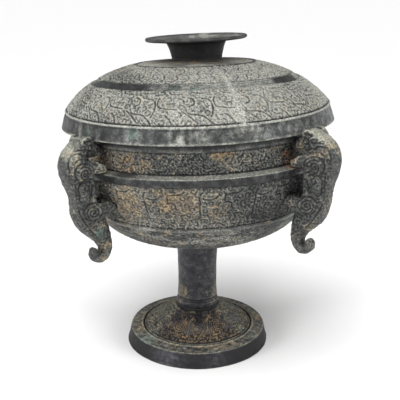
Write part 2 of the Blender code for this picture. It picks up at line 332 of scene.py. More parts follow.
def stamped(units, radius, height, strokes, pitch, size, seed, deep, fine, black, raised=False,
            joints=(), line=0.6):
    """Relief of a band pressed with one stamp, unit beside unit, and how dark each point is.

    The ground is cut by long dragon lines (strokes, in millimetres), larger hooks with a lip, and
    small curls, and roughened by winding ridges. The cut falls off with the distance from the
    nearest line. Where raised is true, the lines and curls stand up from a sunken dark ground
    instead. The band's edges sink into a narrow channel, darker at its last edge where line is
    larger, and the pattern fades out at the mould's joints, given as bearings in degrees.
    """
    width = 2 * np.pi * radius / units
    long_lines = [flowing(np.array(s) / 1000) for s in strokes]

    def clear(x, y):
        return float(reach(np.array([[x]]), np.array([[y]]), long_lines, width)[0, 0])

    small = commas(width, height, pitch, size, seed, clear if strokes else None)
    hooks = commas(width, height, 2.1 * pitch, 2.1 * size, seed + 5, clear if strokes else None)

    def relief(angle, run):
        run = run * height / run[-1]
        n = int(round(len(angle) / units))
        x, y = np.meshgrid(np.arange(n) * width / n, run)

        def all_round(unit):
            return np.tile(unit, (1, units))[:, :len(angle)]

        long_cut = 1 - smooth(reach(x, y, long_lines, width), 0.00020, 0.00085) if strokes else 0 * x
        curl = 1 - smooth(reach(x, y, small, width), 0.00018, 0.00078)
        if not raised:
            near = np.minimum(reach(x, y, hooks, width), reach(x, y, long_lines, width) if strokes else 1.0)
            long_cut = np.maximum(long_cut, 0.85 * (1 - smooth(near, 0.00015, 0.00080)))
            lip = all_round(bell(near, 0.0013, 0.0005))
        long_cut, curl = all_round(long_cut), all_round(curl)
        w = worms(angle, run, radius, 0.0017, seed + 3)
        dip = smooth(-w, 0.1, 1.1)
        far = np.stack([np.cos(angle), np.sin(angle)], 1)
        where = np.concatenate([np.repeat(far[None] * radius, len(run), 0),
                                np.repeat(run[:, None, None], len(angle), 1)], 2).reshape(-1, 3)
        worn = smooth(swell(where, 0.022, seed + 1), 0.3, 1.7).reshape(w.shape)
        edge = np.minimum(run, run[-1] - run)[:, None]
        rim = 1 - smooth(edge, 0.0, 0.0010)
        worn_edge = 0.25 + 0.5 * worn + 0.35 * smooth(w, -1.0, 1.0)
        low = 1 - smooth((run[-1] - run)[:, None] + 0.0003 * w, 0.0005, 0.0013)
        plain = 0 * angle
        for joint in joints:
            plain = plain + bell((np.degrees(angle) - joint + 180) % 360 - 180, 0, 1.3)
        if raised:
            ridge = np.maximum(curl, long_cut) * (1 - 0.4 * dip)
            high = -fine + (fine + 0.0002) * ridge * (1 - 0.5 * worn) - 0.3 * deep * rim
            ink = black * (1 - ridge) * (1 - 0.35 * worn) * (0.65 + 0.35 * dip)
        else:
            high = -deep * long_cut * (1 - 0.4 * worn) - fine * curl * (1 - long_cut) * (1 - 0.7 * worn)
            high = (high - 0.45 * fine * dip * (1 - 0.5 * worn) - 0.5 * deep * rim
                    + 0.25 * deep * lip * (1 - rim))
            small_ink = np.maximum(0.60 * curl * (1 - 0.5 * worn), 0.55 * dip * (1 - 0.4 * worn))
            ink = black * np.maximum(long_cut, small_ink) * (1 - 0.5 * lip)
        ink = np.clip(ink + 0.6 * rim * worn_edge + line * low, 0, 1)
        return high * (1 - plain), ink * (1 - 0.95 * plain)

    return relief


class Value:
    """One socket's value, on which + - and * build Math nodes, with plain numbers on either side."""

    def __init__(self, shader, socket):
        self.shader = shader
        self.socket = socket

    def do(self, operation, *values):
        node = self.shader.node("ShaderNodeMath", {"operation": operation}, values)
        return Value(self.shader, node.outputs[0])

    def __add__(self, other):
        return self.do("ADD", self, other)

    __radd__ = __add__

    def __sub__(self, other):
        return self.do("SUBTRACT", self, other)

    def __rsub__(self, other):
        return self.do("SUBTRACT", other, self)

    def __mul__(self, other):
        return self.do("MULTIPLY", self, other)

    __rmul__ = __mul__

    def band(self, low, high):
        """0 below low, 1 above high, smooth between."""
        settings = {"interpolation_type": "SMOOTHSTEP"}
        node = self.shader.node("ShaderNodeMapRange", settings,
                                {"Value": self, "From Min": low, "From Max": high})
        return Value(self.shader, node.outputs["Result"])


class Shader:
    """A material under construction."""

    def __init__(self, name):
        self.material = bpy.data.materials.new(name)
        self.material.use_nodes = True
        self.tree = self.material.node_tree
        self.surface = self.tree.nodes["Principled BSDF"]
        self.here = self.node("ShaderNodeTexCoord", {}, {}).outputs["Object"]

    def node(self, kind, settings, values):
        """Add a node: its settings first, then its inputs by place or by name, as values or links."""
        made = self.tree.nodes.new(kind)
        for key, value in settings.items():
            setattr(made, key, value)
        pairs = values.items() if isinstance(values, dict) else enumerate(values)
        for key, value in pairs:
            self.put(made.inputs[key], value)
        return made

    def put(self, socket, value):
        """Link a socket to a value's socket, or set it to a constant."""
        if isinstance(value, Value):
            value = value.socket
        if isinstance(value, bpy.types.NodeSocket):
            self.tree.links.new(value, socket)
        elif socket.type == "RGBA" and len(value) == 3:
            socket.default_value = (*value, 1)
        else:
            socket.default_value = value

    def mark(self, name):
        """The value of one of the marks stored on the mesh's points."""
        return Value(self, self.node("ShaderNodeAttribute", {"attribute_name": name}, {}).outputs["Fac"])

    def noise(self, scale, detail, rough, warp=0.0):
        """Noise in the object's own space, scale being its cells a metre."""
        node = self.node("ShaderNodeTexNoise", {}, {"Vector": self.here, "Scale": scale, "Detail": detail,
                                                    "Roughness": rough, "Distortion": warp})
        return Value(self, node.outputs["Fac"])

    def mix(self, share, first, second):
        """The first colour where share is 0 and the second where it is 1."""
        node = self.node("ShaderNodeMix", {"data_type": "RGBA"}, {})
        self.put(node.inputs[0], share)
        self.put(node.inputs[6], first)
        self.put(node.inputs[7], second)
        return node.outputs[2]


def bronze(name, dark, light, dust, rough):
    """Old patinated bronze: a dark ground with grey bloom and pale dust on the raised work.

    Dark cuts, ochre earth, verdigris and rust come where the marks ask for them, with fine pits
    and pale flecks all over. A bare mark keeps the smooth dark skin of the plain bands glossy.
    The dark mark also carries painted shade and the dust mark painted highlights, a painted sheen
    mark lightens the ground as a painted highlight, and hollows are darkened as dirt and painted shade.
    """
    s = Shader(name)
    grain = s.noise(1150, 2, 0.5)
    fine = s.noise(760, 3, 0.7, 0.5)
    small = s.noise(210, 5, 0.68, 0.3)
    broad = s.noise(46, 5, 0.65, 0.6)
    ink, crest, hollow, dust_and_highlight_share, bare = map(s.mark, ("ink", "crest", "hollow", "dust", "bare"))
    speck = fine.band(0.42, 0.58)
    blotch = small.band(0.38, 0.64)
    # Crests are lightened as wear, and hollows are darkened, here, in the veil and in the near-black mix
    # below, as dirt and painted shade in the recesses.
    bloom = broad * 0.5 + small * 0.55 + fine * 0.35 + crest * 0.25 - hollow * 0.3
    # The painted sheen mark lightens the ground towards the light tone: a painted highlight.
    color = s.mix((bloom + s.mark("sheen") * 0.7).band(0.52, 0.95), dark, light)
    # The pale veil follows the dust mark: real dust, and painted highlights where the patinas put them on
    # ledges and edges.
    veil = dust_and_highlight_share * (0.35 + broad * 0.5 + small * 0.6 + fine * 0.5 + crest * 0.5) - hollow * 0.35
    color = s.mix(veil.band(0.30, 1.05), color, dust)
    mud = s.mark("earth")
    earth = (mud * 1.15 + small * 2.8 + fine * 2.0 + broad * 1.8 + hollow * 0.3 - 3.60).band(0.0, 1.0)
    earth = earth * mud.band(0.0, 0.4)
    color = s.mix(earth * 0.75, color,
                  s.mix(small.band(0.44, 0.58), (0.200, 0.142, 0.092), (0.400, 0.265, 0.105)))
    green = (s.mark("green") * (small * 1.0 + broad * 0.8)).band(0.40, 0.85)
    color = s.mix(green * 0.7, color, (0.150, 0.225, 0.195))
    rust = (s.mark("rust") * (small * 0.9 + broad * 0.7)).band(0.40, 0.95)
    color = s.mix(rust * 0.75, color, (0.400, 0.180, 0.060))
    # The dark mark turns the colour near black: dark patina in cuts and grooves, and painted shade where the
    # patinas put it under rims and brims.
    color = s.mix((ink * 0.80 + hollow * 0.25).band(0.0, 1.0), color, (0.012, 0.011, 0.012))
    color = s.mix((1 - speck) * (0.32 + dust_and_highlight_share * 0.14) * (1 - bare * 0.5), color, (0.022, 0.024, 0.025))
    color = s.mix((1 - blotch) * bare * 0.6, color, (0.012, 0.013, 0.014))
    pale = (0.16 + dust_and_highlight_share * 0.30 - bare * 0.10).band(0.0, 1.0)
    color = s.mix(speck * (0.3 + blotch * 0.7) * (1 - ink) * pale, color, (0.60, 0.60, 0.54))
    color = s.mix((1 - grain).band(0.50, 0.66) * (1 - fine * 0.6) * 0.45, color, (0.016, 0.016, 0.015))
    flecks = grain.band(0.56, 0.70) * small.band(0.45, 0.62) * (0.35 + dust_and_highlight_share * 0.5 + crest * 0.4)
    color = s.mix(flecks * 0.55 * (1 - ink * 0.8), color, (0.46, 0.46, 0.41))
    s.put(s.surface.inputs["Base Color"], color)
    s.put(s.surface.inputs["Roughness"],
          rough + small * 0.20 + dust_and_highlight_share * 0.16 + earth * 0.2 + ink * 0.16 * (1 - bare))
    s.put(s.surface.inputs["Metallic"], (0.60 - dust_and_highlight_share * 0.5 - earth * 0.4).band(0.0, 1.0) * 0.6)
    s.put(s.surface.inputs["Coat Weight"],
          (bare * (0.62 - dust_and_highlight_share * 0.5 - earth * 0.4) * (0.35 + blotch * 0.65)).band(0.0, 1.0))
    s.surface.inputs["Coat Roughness"].default_value = 0.30
    s.surface.inputs["Specular IOR Level"].default_value = 0.25
    bump = s.node("ShaderNodeBump", {},
                  {"Strength": 0.7, "Distance": 0.0005, "Height": small * 0.9 + fine * 0.9 + grain * 0.3})
    s.put(s.surface.inputs["Normal"], bump.outputs["Normal"])
    return s.material


def bearing(p):
    """Bearing of points round the axis in degrees, 0 at the front and positive to the right."""
    return np.degrees(np.arctan2(p[:, 0], -p[:, 1]))


def patch(p, at, height, wide, tall):
    """1 at a bearing and height, falling to 0 over wide degrees and tall metres."""
    turn = (bearing(p) - at + 180) % 360 - 180
    return bell(turn, 0, wide) * bell(p[:, 2], height, tall)


FOOT_R = 0.0589
RING_R = 0.0172
RING_Z = 0.0311
STEM_R = 0.0157
STEM_GROOVE_Z = 0.0384
CONE_EDGE_Z = 0.0310
cone_r = FOOT_R - 0.0040 - 0.0108
cone = along(bow((RING_R + 0.0006, RING_Z - 0.0008), (cone_r - 0.0006, 0.0142), -0.03, 12), 0.00060)
eye_rings = [[(19.0 + r * math.cos(t), 15.0 + r * math.sin(t)) for t in np.linspace(0, 2 * np.pi, 9)]
             for r in (1.6, 3.6, 5.4)]
foot_lines = eye_rings + [
    [(1.0, 24.0), (4.0, 20.0), (6.5, 15.0), (6.0, 9.0), (2.0, 5.5)],
    [(9.5, 26.0), (10.0, 21.0), (9.0, 16.5), (10.5, 10.0), (14.0, 6.0)],
    [(26.5, 25.0), (27.5, 20.0), (27.0, 14.0), (25.0, 8.0), (20.0, 4.5)],
    [(32.0, 22.0), (31.0, 17.0), (32.5, 12.0), (31.0, 6.5)],
]
foot_relief = stamped(6, 0.033, 0.030, foot_lines, 0.0029, 0.00120, 5, 0.00080, 0.00080, 0.85, True)
foot_bands = [
    (np.array([(0, BOWL_Z + 0.0022), (STEM_R * 0.6, BOWL_Z + 0.0022)]), 96, None),
    (along([(STEM_R * 1.10, BOWL_Z + 0.0022), (STEM_R * 1.105, BOWL_Z - 0.002), (STEM_R * 1.035, 0.0715),
            (STEM_R * 1.01, 0.0490), (STEM_R * 1.045, 0.0396)], 0.0020), 144, None),
    (along([(STEM_R * 1.05, 0.0390), (STEM_R * 0.995, STEM_GROOVE_Z), (STEM_R * 1.045, 0.0378),
            (STEM_R * 1.05, 0.0372),
            (STEM_R * 1.01, 0.0367), (RING_R * 0.985, 0.0361), (RING_R, 0.0352), (RING_R * 1.005, 0.0336),
            (RING_R * 0.995, 0.0324), (RING_R * 0.96, 0.0315), (RING_R * 0.955, 0.0309)], 0.0005), 180, None),
    (cone, 420, foot_relief),
    (along([(cone_r, 0.0138), (cone_r + 0.0006, 0.0126), (cone_r + 0.0014, 0.0125), (cone_r + 0.0021, 0.0137),
            (cone_r + 0.0028, 0.0137), (cone_r + 0.0034, 0.0126), (FOOT_R - 0.0050, 0.0119),
            (FOOT_R - 0.0040, 0.0122),
            (FOOT_R - 0.0034, 0.0121), (FOOT_R - 0.0029, 0.0114), (FOOT_R - 0.0008, 0.0016),
            (FOOT_R, 0.0004), (FOOT_R - 0.0005, 0)], 0.0007), 300, None),
    (np.array([(FOOT_R - WALL, 0), (0.0523, 0.0072), (0.0490, 0.0090), (0.0175, 0.0284), (0.0129, 0.0376),
               (0.0129, BOWL_Z - 2 * WALL), (0, BOWL_Z - 1.2 * WALL)]), 120, None),
]


def foot_patina(p, ink, part):
    """Earth in the cone's relief towards the front left, mottled dust on the foot's upper ring, a painted
    highlight on the foot's side, and the stem painted lighter towards its left and right edges.
    """
    turn, out = bearing(p), np.hypot(p[:, 0], p[:, 1])
    front = (patch(p, -16, 0.020, 26, 0.009) + 0.55 * patch(p, 32, 0.021, 22, 0.008)
             + 0.5 * patch(p, 6, 0.016, 30, 0.003))
    stain = blots(p, 0.0055, 51)
    blot = blots(p, 0.016, 52, 1.4)
    stem_part, ring_part, cone_part, rim_part = (part == k for k in (1, 2, 3, 4))
    top = rim_part * (out < FOOT_R - 0.0030)
    side = rim_part * (out >= FOOT_R - 0.0030)
    groove = rim_part * bell(out, cone_r + 0.0010, 0.0006)
    ridge = rim_part * bell(out, cone_r + 0.0025, 0.0006)
    lines = ring_part * np.maximum(bell(p[:, 2], STEM_GROOVE_Z, 0.0005), bell(p[:, 2], CONE_EDGE_Z, 0.0006))
    off_middle = smooth(np.abs(turn), 8, 34)
    away = smooth(np.abs(turn), 40, 62)
    low_stem = stem_part * smooth(-p[:, 2], -0.058, -0.043) * smooth(np.abs(turn), 4, 26)
    middle = cone_part * patch(p, 3, 0.027, 9, 0.006)
    # A painted highlight on the foot's side, left of the front and weaker right of it: the side's dark is
    # lifted there, the painted sheen lightens it and the coat is strengthened.
    painted_highlight = np.clip(patch(p, -24, 0.006, 13, 0.02) + 0.5 * patch(p, 14, 0.006, 9, 0.02), 0, 1)
    painted_glint = painted_highlight * (0.3 + 0.7 * stain)
    # The stem's dark eases towards its left and right edges: painted side highlights.
    stem_dark_with_lit_sides = 0.54 - 0.26 * smooth(-turn, 30, 60) - 0.12 * smooth(turn, 40, 62)
    ring_ink = 0.40 + 0.3 * patch(p, 0, 0.035, 25, 0.01)
    return {
        "sheen": 0.8 * side * painted_glint,
        "bare": side * (0.10 + 0.60 * painted_highlight) + stem_part * 0.4 + ring_part * 0.6,
        "ink": np.clip(ink * (1 - 0.55 * away * cone_part) + 0.26 * cone_part * (1 - 0.5 * away)
                       + side * (0.98 + 0.02 * stain - 0.95 * painted_glint) + 0.95 * groove + 0.9 * lines
                       + top * 0.34 * blot + stem_part * stem_dark_with_lit_sides + ring_part * ring_ink
                       + 0.6 * middle, 0, 1),
        "dust": stem_part * (0.06 + 0.30 * smooth(np.abs(turn), 25, 80))
            + 0.45 * low_stem * (0.4 + 0.6 * stain) + cone_part * (0.12 + 0.42 * away)
            + top * (0.34 + 0.40 * stain) * (1 - groove) + 0.6 * ridge + ring_part * 0.5 * stain * off_middle,
        "earth": cone_part * (0.30 + 0.95 * front) * (1 - middle) + top * (0.22 + 0.40 * blot * stain)
            + 0.4 * ridge
        + low_stem * (0.15 + 0.35 * blot) + stem_part * 0.10 * stain
        + ring_part * (0.10 + 0.35 * stain) * off_middle,
        "green": 0.6 * patch(p, -52, 0.012, 12, 0.006) + 0.4 * patch(p, 60, 0.014, 14, 0.006)
            + 0.35 * top * stain + 0.3 * cone_part * away * blot,
        "rust": 0.5 * patch(p, -24, 0.024, 8, 0.003),
    }


foot = turned_wall("foot_and_stem", foot_bands, foot_patina)
foot.data.materials.append(bronze("dark_bronze_foot", (0.021, 0.021, 0.027), (0.070, 0.067, 0.080),
                                  (0.185, 0.185, 0.135), 0.34))
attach(foot, "root")
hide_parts("bowl")

# Bowl. A deep round bowl, cast with a pressed serpent band under its cordon, a narrow interlace
# round the neck and a third zone on the underside, where double lines part it from the band.
NECK_R = 0.0960
CORDON_R = 0.1025
CORDON_Z = 0.1589
BAND_Z = 0.1290
LEDGE_Z = 0.1644
MOUTH_Z = 0.1902
belly_r = NECK_R * 0.935
band_side = along(bow((CORDON_R - 0.0010, CORDON_Z - 0.0012), (belly_r + 0.0004, BAND_Z + 0.0008), 0.04, 24),
                  0.00066)
under_line = bow((belly_r - 0.0004, BAND_Z - 0.0010), (STEM_R * 1.06, BOWL_Z), 0.135, 60, 0.45)
under_run = np.r_[0, np.cumsum(np.linalg.norm(np.diff(under_line, axis=0), axis=1))]


def under(first, last, step):
    """Even steps along the underside between two runs from the lower edge of the band."""
    s = np.linspace(first, last, int(round((last - first) / step)) + 1)
    return np.stack([np.interp(s, under_run, under_line[:, 0]), np.interp(s, under_run, under_line[:, 1])], 1)


neck_relief = stamped(18, NECK_R, 0.0150, [
    [(1.0, 2.0), (3.0, 5.5), (2.0, 9.5), (5.0, 11.5)],
    [(15.0, 11.0), (18.0, 8.0), (17.5, 4.5), (21.0, 2.5)],
    [(24.0, 11.0), (26.5, 8.0), (25.5, 4.5), (29.0, 2.0)],
], 0.0021, 0.00088, 11, 0.0008, 0.0008, 1.0, True)
band_line = along(np.concatenate([band_side, under(0.0004, 0.0040, 0.0006)]), 0.00076)
band_relief = stamped(16, 0.0970, 0.0358, [
    [(-1.8, 31.0), (-1.8, 26.8), (0.4, 24.6), (0.2, 18.7), (0.5, 10.7), (0.0, 7.7), (1.8, 3.7)],
    [(16.9, 10.7), (17.3, 6.2), (20.2, 5.1), (25.4, 4.8), (28.7, 2.6)],
    [(1.8, 8.0), (6.2, 9.2), (9.2, 8.8), (11.8, 7.3)],
    [(16.5, 12.0), (19.5, 11.5), (21.7, 13.0), (22.0, 16.3), (23.9, 17.4)],
    [(24.0, 28.0), (25.6, 25.9), (24.5, 22.7), (27.8, 21.7)],
    [(6.0, 31.5), (11.0, 30.5), (15.5, 31.5), (18.5, 33.5)],
], 0.0026, 0.00105, 12, 0.0008, 0.0006, 0.80)
under_relief = stamped(14, 0.0720, 0.036, [
    [(2.0, 34.0), (6.0, 30.0), (5.0, 24.0), (9.0, 19.0)],
    [(22.5, 28.0), (26.5, 22.0), (24.5, 14.0), (28.0, 7.0)],
], 0.0028, 0.00110, 13, 0.0007, 0.0005, 0.60)
floor_z = BOWL_Z + 1.5 * WALL
inside = NECK_R - WALL
bowl_bands = [
    (np.array([(0, floor_z), (0.018, floor_z + 0.0004), (0.0408, floor_z + 0.0022), (0.0580, 0.1010),
               (0.0718, 0.1086),
               (0.0800, 0.1190), (belly_r - WALL, BAND_Z + WALL), (0.0930, 0.1450), (NECK_R - 0.0006, 0.1530),
               (NECK_R + 0.0005, 0.1600), (inside + 0.001, 0.1670), (inside, 0.1714),
               (inside, MOUTH_Z - 0.0008)]), 160, None),
    (along([(inside + 0.0001, MOUTH_Z - 0.0004), (inside + 0.0007, MOUTH_Z), (NECK_R - 0.0008, MOUTH_Z),
            (NECK_R, MOUTH_Z - 0.0008), (NECK_R + 0.0002, 0.1804)], 0.0012), 240, None),
    (along([(NECK_R - 0.0001, 0.1798), (NECK_R - 0.0003, 0.1652)], 0.00064), 864, neck_relief),
    (along([(NECK_R + 0.0002, LEDGE_Z + 0.0004), (NECK_R + 0.0012, LEDGE_Z),
            (CORDON_R - 0.0016, LEDGE_Z - 0.0008),
            (CORDON_R - 0.0008, LEDGE_Z - 0.0003), (CORDON_R + 0.0004, LEDGE_Z - 0.0007),
            (CORDON_R + 0.0008, LEDGE_Z - 0.0013), (CORDON_R + 0.0001, CORDON_Z + 0.0007),
            (CORDON_R - 0.0004, CORDON_Z), (CORDON_R - 0.0009, CORDON_Z - 0.0008)], 0.0007), 320, None),
    (band_line, 896, band_relief),
    (np.concatenate([under(0.0043, 0.0043, 1), under(0.0046, 0.0051, 0.0005) + (-0.0006, 0.0004),
                     under(0.0055, 0.0073, 0.0006),
                     under(0.0076, 0.0081, 0.0005) + (-0.0005, 0.0003)]), 360, None),
    (under(0.0086, 0.0400, 0.00084), 490, under_relief),
    (np.concatenate([under(0.0410, under_run[-1] - 0.0020, 0.0024),
                     [(0.009, BOWL_Z + 0.0012), (0, BOWL_Z + 0.0012)]]), 120, None),
]


def bowl_patina(p, ink, part):
    """Ochre earth on the band's front, pale dust and a painted highlight on the cordon's ledge, painted
    shadow under the lid's rim and on the ledge left of the front, rust by the right handle.
    """
    turn = bearing(p)
    plain, on_neck, on_cordon, on_band = (part == k for k in (1, 2, 3, 4))
    on_under = part >= 5
    blot = blots(p, 0.040, 3)
    stain = blots(p, 0.013, 31, 1.5)
    streak = blots(p * (0.35, 0.35, 2.0), 0.010, 32, 1.6)
    # The ledge faces up; edge is its outer rim, where a painted highlight line runs.
    ledge = on_cordon * smooth(p[:, 2], LEDGE_Z - 0.0012, LEDGE_Z - 0.0006)
    edge = ledge * smooth(np.hypot(p[:, 0], p[:, 1]), CORDON_R - 0.0014, CORDON_R - 0.0006)
    ochre = (patch(p, -10, 0.149, 9, 0.008) + 0.80 * patch(p, -31, 0.142, 10, 0.016)
             + 0.35 * patch(p, 3, 0.142, 14, 0.015))
    back = smooth(np.abs(turn), 70, 110)
    right = smooth(turn + 6 * stain - 3, -2, 34) * (1 - smooth(turn, 90, 150))
    return {
        "bare": on_cordon * (1 - ledge) + plain * 0.7,
        "ink": np.clip(ink + on_cordon * (1 - ledge)
                       * (0.55 + 0.3 * stain + 0.35 * patch(p, 12, 0.161, 22, 0.01))
               # A dark spot on the ledge left of the front is a painted shadow.
               + ledge * (0.9 * patch(p, -30, 0.164, 7, 0.01) + 0.25 * (1 - edge) * stain)
               # The plain band just under the lid's rim turns near black: painted shadow of the rim.
               + plain * (0.35 * stain + 0.75 * smooth(p[:, 2], 0.1820, 0.1832))
                       + on_band * (0.05 + 0.22 * right), 0, 1),
        "dust": on_band * (0.56 + 0.22 * blot - 0.32 * right) + on_neck * (0.33 + 0.22 * blot)
            # The ledge's dust rises to a painted highlight towards the front, brightest along its outer edge.
            + ledge * (0.50 + 0.25 * stain + (0.45 + 0.6 * edge) * patch(p, 6, 0.164, 34, 0.02))
        + on_under * (0.25 + 0.65 * blot * streak) + plain * (0.10 + 0.35 * streak)
        + 0.6 * patch(p, -44, 0.176, 9, 0.012),
        "earth": on_band * (0.10 + ochre + 0.6 * back * blot)
            + on_neck * (0.30 * stain + 0.9 * patch(p, 10, 0.178, 5, 0.004)
        + 0.5 * patch(p, -30, 0.172, 12, 0.01)) + on_under * 0.35 * stain
        + 0.8 * (on_neck + plain) * patch(p, -46, 0.176, 7, 0.010),
        "green": 0.55 * patch(p, 46, 0.122, 10, 0.008) + 0.6 * patch(p, 14, 0.165, 6, 0.003)
            + 0.5 * patch(p, 22, 0.162, 5, 0.003)
        + 0.45 * patch(p, 150, 0.150, 15, 0.02) + 0.25 * on_under * stain,
        "rust": (1.2 * patch(p, 40, 0.171, 5, 0.008) + 0.9 * patch(p, 42, 0.163, 5, 0.004))
            * (0.45 + 0.55 * stain),
    }


bowl = turned_wall("bowl_wall", bowl_bands, bowl_patina)
bowl.data.materials.append(bronze("dusty_bronze_bowl", (0.030, 0.033, 0.034), (0.088, 0.094, 0.092),
                                  (0.21, 0.21, 0.18), 0.36))
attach(bowl, "root")
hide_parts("bowl")

# Lid. A domed lid cast in one with its crown, which is a short flaring neck under a flat brim. Two
# pressed serpent bands circle it with a plain groove between them, and a thick plain rim hangs over
# the bowl's mouth, while a lip inside keeps it in place.
LID_R = 0.1049
RIDGE_R = 0.1010
RIDGE_Z = 0.1978
EDGE_Z = 0.1867
GROOVE_Z = 0.2171
TOP_Z = 0.2205
TOP_H = 0.0094
CROWN_Z = 0.2299
CROWN_H = 0.0189
CROWN_R = 0.0388
CROWN_NECK_R = 0.0187
CROWN_LEAN = math.radians(0.7)
BRIM = 0.0028
LID_UNITS = 15
LID_BAND_H = 0.0290
LID_JOINTS = (18, 104, 196, 290)
mid_r = RIDGE_R * 0.79
top_r = RIDGE_R * 0.733
brim_z = CROWN_Z + CROWN_H
lid_unit = 2 * math.pi * 90.4 / LID_UNITS


def lid_stroke(*knots):
    """Points of a line on the wide band, from bearings in degrees and shares of the band's height."""
    return [((a + 24) / 24 * lid_unit, (1 - h) * LID_BAND_H * 1000) for a, h in knots]


wide_lid_relief = stamped(LID_UNITS, 0.0904, LID_BAND_H, [
    lid_stroke((-15.5, 0.77), (-16.2, 0.64), (-15.5, 0.50), (-13, 0.45), (-8, 0.42)),
    lid_stroke((-12.4, 0.60), (-9.8, 0.60), (-8.4, 0.60)),
    lid_stroke((-21, 0.72), (-19, 0.71), (-17.2, 0.60), (-17.0, 0.42), (-18, 0.22)),
    lid_stroke((-28, 0.42), (-26.6, 0.31), (-22, 0.27), (-19.6, 0.17), (-17.6, 0.04)),
    lid_stroke((-12, 0.98), (-11, 0.90), (-8.5, 0.88), (-6, 0.88)),
    lid_stroke((-5.5, 0.37), (-3, 0.27), (-0.8, 0.14)),
    lid_stroke((-12.5, 0.28), (-10.8, 0.20), (-9.4, 0.04)),
    lid_stroke((-3, 0.76), (-0.8, 0.70), (-0.6, 0.56), (-2.8, 0.50)),
    lid_stroke((-23, 0.92), (-20.5, 0.90), (-18.6, 0.93)),
    lid_stroke((-7.6, 0.74), (-5.4, 0.70), (-4.6, 0.60)),
], 0.0029, 0.00115, 21, 0.0008, 0.0006, 0.66, False, LID_JOINTS, 1.0)
upper_lid_relief = stamped(12, 0.0600, 0.0292, [
    [(1.5, 24.0), (3.5, 19.0), (2.0, 13.5), (5.5, 8.0), (11.0, 6.5)],
    [(9.0, 26.0), (12.5, 22.0), (11.0, 16.0), (15.0, 12.5)],
    [(18.0, 25.5), (21.0, 21.0), (19.5, 15.5), (24.0, 11.0), (23.0, 5.0)],
    [(25.5, 25.0), (28.0, 21.5), (27.0, 17.0)],
    [(14.0, 4.0), (17.0, 7.5), (20.0, 6.0)],
], 0.0028, 0.00110, 22, 0.0007, 0.0006, 0.66, False, LID_JOINTS, 0.5)
seat_z = MOUTH_Z + 0.0003
lip_r = NECK_R - WALL - 0.0006
lid_bands = [
    (np.array([(0, CROWN_Z + 0.0012), (0.010, CROWN_Z + 0.0012), (CROWN_NECK_R - WALL, CROWN_Z + 0.0014),
               (CROWN_NECK_R - WALL + 0.0009, CROWN_Z + 0.35 * CROWN_H),
               (CROWN_NECK_R + 0.0001, CROWN_Z + 0.66 * CROWN_H),
               (CROWN_NECK_R + 0.0028, brim_z - 0.0040)]), 96, None),
    (along([(CROWN_NECK_R + 0.0066, brim_z - 0.0016), (0.0310, brim_z - 0.0010),
            (CROWN_R - 0.0024, brim_z - 0.0009),
            (CROWN_R - 0.0017, brim_z - 0.0002), (CROWN_R - 0.0009, brim_z - 0.0001),
            (CROWN_R - 0.0001, brim_z - 0.0009),
            (CROWN_R - 0.0001, brim_z - 0.0021), (CROWN_R - 0.0012, brim_z - BRIM),
            (0.0300, brim_z - BRIM - 0.0008),
            (CROWN_NECK_R + 0.0046, brim_z - BRIM - 0.0014)], 0.0010), 240, None),
    (along(flowing([(CROWN_NECK_R + 0.0039, brim_z - BRIM - 0.0020),
                    (CROWN_NECK_R + 0.0022, CROWN_Z + 0.53 * CROWN_H),
                    (CROWN_NECK_R + 0.0011, CROWN_Z + 0.22 * CROWN_H),
                    (CROWN_NECK_R + 0.0006, CROWN_Z + 0.0006)]), 0.0012), 160, None),
    (along([(CROWN_NECK_R + 0.0014, CROWN_Z - 0.0001), (0.0260, TOP_Z + 0.97 * TOP_H),
            (0.0360, TOP_Z + 0.93 * TOP_H),
            (0.0440, TOP_Z + 0.88 * TOP_H)], 0.0015), 240, None),
    (along([(0.0449, TOP_Z + 0.87 * TOP_H), (0.0453, TOP_Z + 0.855 * TOP_H + 0.0005),
            (0.0459, TOP_Z + 0.85 * TOP_H + 0.0007)],
           0.0004), 360, None),
    (along(bow((0.0463, TOP_Z + 0.84 * TOP_H + 0.0006), (top_r - 0.0004, TOP_Z), 0.042, 24), 0.00064), 624,
     upper_lid_relief),
    (along([(top_r + 0.0003, TOP_Z - 0.0003), (top_r + 0.0008, TOP_Z - 0.0011),
            (top_r + 0.0014, TOP_Z - 0.0013),
            (mid_r - 0.0012, GROOVE_Z - 0.0004), (mid_r - 0.0005, GROOVE_Z - 0.0005),
            (mid_r - 0.0001, GROOVE_Z + 0.0001)],
           0.0005), 420, None),
    (along(bow((mid_r + 0.0005, GROOVE_Z - 0.0001), (RIDGE_R - 0.0004, RIDGE_Z + 0.0012), 0.045, 24),
           0.00062), 900, wide_lid_relief),
    (along([(RIDGE_R + 0.0001, RIDGE_Z + 0.0007), (RIDGE_R + 0.0006, RIDGE_Z + 0.0001),
            (RIDGE_R + 0.0005, RIDGE_Z - 0.0007),
            (RIDGE_R + 0.0003, RIDGE_Z - 0.0013), (LID_R - 0.0003, EDGE_Z + 0.0012),
            (LID_R - 0.0001, EDGE_Z + 0.0004),
            (LID_R - 0.0006, EDGE_Z), (LID_R - WALL + 0.0005, EDGE_Z), (LID_R - WALL, EDGE_Z + 0.0005)],
           0.0008), 360, None),
    (np.array([(LID_R - WALL - 0.0010, seat_z), (lip_r, seat_z), (lip_r, seat_z - 0.0066),
               (lip_r - 0.0004, seat_z - 0.0070),
               (lip_r - 0.0019, seat_z - 0.0070), (lip_r - 0.0022, seat_z - 0.0066),
               (lip_r - 0.8 * WALL, seat_z + 0.4 * WALL),
               (0.0860, 0.2040), (mid_r + 0.0004, GROOVE_Z - 0.0008 - 1.15 * WALL), (0.0640, 0.2200),
               (0.0440, TOP_Z + 0.78 * TOP_H - WALL), (0.0200, CROWN_Z - 0.0022),
               (0, CROWN_Z + 0.0012 - WALL)]), 120, None),
]


